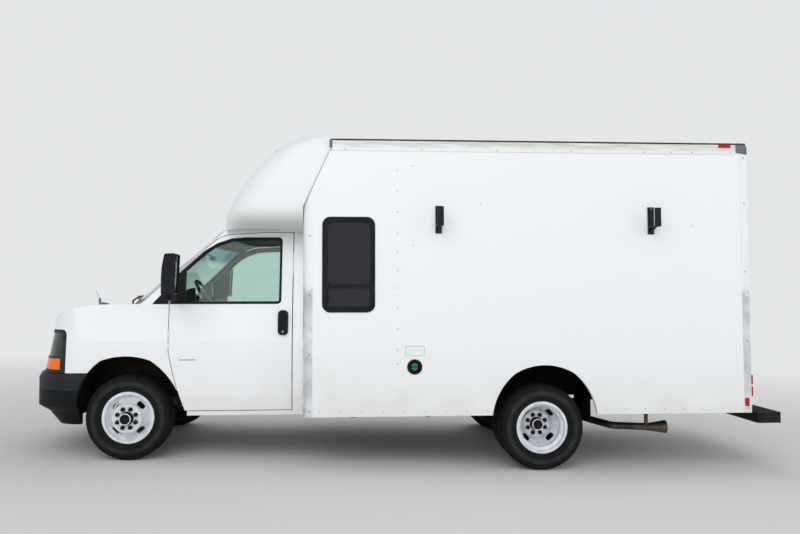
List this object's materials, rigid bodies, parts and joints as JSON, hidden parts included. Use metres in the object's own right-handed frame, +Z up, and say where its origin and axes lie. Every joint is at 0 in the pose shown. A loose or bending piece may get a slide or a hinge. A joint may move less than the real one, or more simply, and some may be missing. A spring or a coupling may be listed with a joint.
{
  "type": "cutaway van box truck",
  "caption": "Cab of a van on a ladder frame with a tall box body behind, moulded nose over the cab, opening doors and bonnet, steered front wheels and twin rear wheels.",
  "frame": {"origin": "on the ground below the middle of the length and width", "axes": "+X to the vehicle's rear, +Y to its right side, +Z up; it stands as it parks, nose slightly down"},
  "size_m": [6.6624, 2.84, 2.8642],
  "materials": {
    "cab_white": "gloss",
    "box_white": "satin",
    "cap_white": "gloss",
    "box_trim": "satin",
    "bumper_grey": "matte",
    "grille_grey": "matte",
    "cowl_black": "matte",
    "liner_black": "matte",
    "trim_black": "matte",
    "window_black": "satin",
    "filler_black": "matte",
    "step_black": "satin",
    "chassis_black": "matte",
    "cast_grey": "matte",
    "exhaust_steel": "matte",
    "hook_black": "satin",
    "rim_steel": "satin",
    "tyre": "matte",
    "dash_grey": "matte",
    "seat_grey": "matte",
    "floor_grey": "matte",
    "wheel_black": "satin",
    "lamp_clear": "gloss",
    "lamp_amber": "gloss",
    "lamp_red": "gloss",
    "cab_glass": "gloss",
    "box_glass": "gloss"
  },
  "bodies": {
    "chassis": {"frame_rails": "chassis_black", "rear_axle": "chassis_black", "leaf_springs": "chassis_black", "front_suspension": "chassis_black", "fuel_tank": "chassis_black", "exhaust": "exhaust_steel", "engine_block": "cast_grey", "front_bumper": "bumper_grey", "front_wings": "cab_white", "cowl": "cowl_black", "grille": "grille_grey", "headlamps": "lamp_clear", "turn_lamps": "lamp_amber", "wheel_liners": "liner_black", "cab_shell": "cab_white", "windscreen": "cab_glass", "dashboard": "dash_grey", "seats": "seat_grey", "box_floor": "floor_grey", "box_wall_left": "box_white", "box_wall_right": "box_white", "box_front_wall": "box_white", "box_roof": "box_white", "box_frame": "box_trim", "front_cap": "cap_white", "side_window_frames": "window_black", "side_window_glass": "box_glass", "ladder_hooks": "hook_black", "fuel_filler": "filler_black", "step_bumper": "step_black", "red_lamps": "lamp_red", "pillar_covers": "trim_black", "wheel_boxes": "liner_black", "floor_bearers": "chassis_black", "filler_hose": "filler_black"},
    "bonnet": {"bonnet": "cab_white"},
    "steering_wheel": {"steering_wheel": "wheel_black"},
    "knuckle_left": {"knuckle_left": "cast_grey"},
    "knuckle_right": {"knuckle_right": "cast_grey"},
    "door_left": {"door_left": "cab_white", "door_glass_left": "cab_glass", "door_fittings_left": "trim_black"},
    "door_right": {"door_right": "cab_white", "door_glass_right": "cab_glass", "door_fittings_right": "trim_black"},
    "rear_door_left": {"rear_door_left": "box_white"},
    "rear_door_right": {"rear_door_right": "box_white"},
    "wheel_front_left": {"wheel_front_left": "rim_steel", "tyre_front_left": "tyre"},
    "wheel_front_right": {"wheel_front_right": "rim_steel", "tyre_front_right": "tyre"},
    "wheels_rear_left": {"wheels_rear_left": "rim_steel", "tyres_rear_left": "tyre"},
    "wheels_rear_right": {"wheels_rear_right": "rim_steel", "tyres_rear_right": "tyre"}
  },
  "joints": [
    {"name": "bonnet_hinge", "type": "hinge", "parent": "chassis", "child": "bonnet", "pos_m": [-2.48216, 0, 1.32687], "axis": [0, 1, 0], "range_deg": [0, 50]},
    {"name": "door_left_hinge", "type": "hinge", "parent": "chassis", "child": "door_left", "pos_m": [-2.0613, -1.004, 1.03521], "axis": [0.0248, 0, -0.9997], "range_deg": [0, 70]},
    {"name": "door_right_hinge", "type": "hinge", "parent": "chassis", "child": "door_right", "pos_m": [-2.0613, 1.004, 1.03521], "axis": [-0.0248, 0, 0.9997], "range_deg": [0, 70]},
    {"name": "rear_door_left_hinge", "type": "hinge", "parent": "chassis", "child": "rear_door_left", "pos_m": [2.9578, -1.165, 1.83984], "axis": [0.0248, 0, -0.9997], "range_deg": [0, 180]},
    {"name": "rear_door_right_hinge", "type": "hinge", "parent": "chassis", "child": "rear_door_right", "pos_m": [2.9578, 1.165, 1.83984], "axis": [-0.0248, 0, 0.9997], "range_deg": [0, 180]},
    {"name": "steer_left", "type": "hinge", "parent": "chassis", "child": "knuckle_left", "pos_m": [-2.38422, -0.85, 0.362], "axis": [0, 0, 1], "range_deg": [-32, 32]},
    {"name": "steer_right", "type": "hinge", "parent": "chassis", "child": "knuckle_right", "pos_m": [-2.38422, 0.85, 0.362], "axis": [0, 0, 1], "range_deg": [-32, 32]},
    {"name": "steering_wheel_turn", "type": "hinge", "parent": "chassis", "child": "steering_wheel", "pos_m": [-1.84992, -0.43, 1.40556], "axis": [0.8047, 0, 0.5937], "range_deg": [-384, 384]},
    {"name": "wheel_front_left_spin", "type": "hinge", "parent": "knuckle_left", "child": "wheel_front_left", "pos_m": [-2.38422, -0.876, 0.362], "axis": [0, 1, 0], "continuous": true},
    {"name": "wheel_front_right_spin", "type": "hinge", "parent": "knuckle_right", "child": "wheel_front_right", "pos_m": [-2.38422, 0.876, 0.362], "axis": [0, 1, 0], "continuous": true},
    {"name": "wheels_rear_left_spin", "type": "hinge", "parent": "chassis", "child": "wheels_rear_left", "pos_m": [1.14678, -0.967, 0.362], "axis": [0, 1, 0], "continuous": true},
    {"name": "wheels_rear_right_spin", "type": "hinge", "parent": "chassis", "child": "wheels_rear_right", "pos_m": [1.14678, 0.967, 0.362], "axis": [0, 1, 0], "continuous": true}
  ],
  "couplings": [
    {"joint": "steer_right", "follows": "steer_left", "ratio": 1},
    {"joint": "steering_wheel_turn", "follows": "steer_left", "ratio": 12}
  ]
}
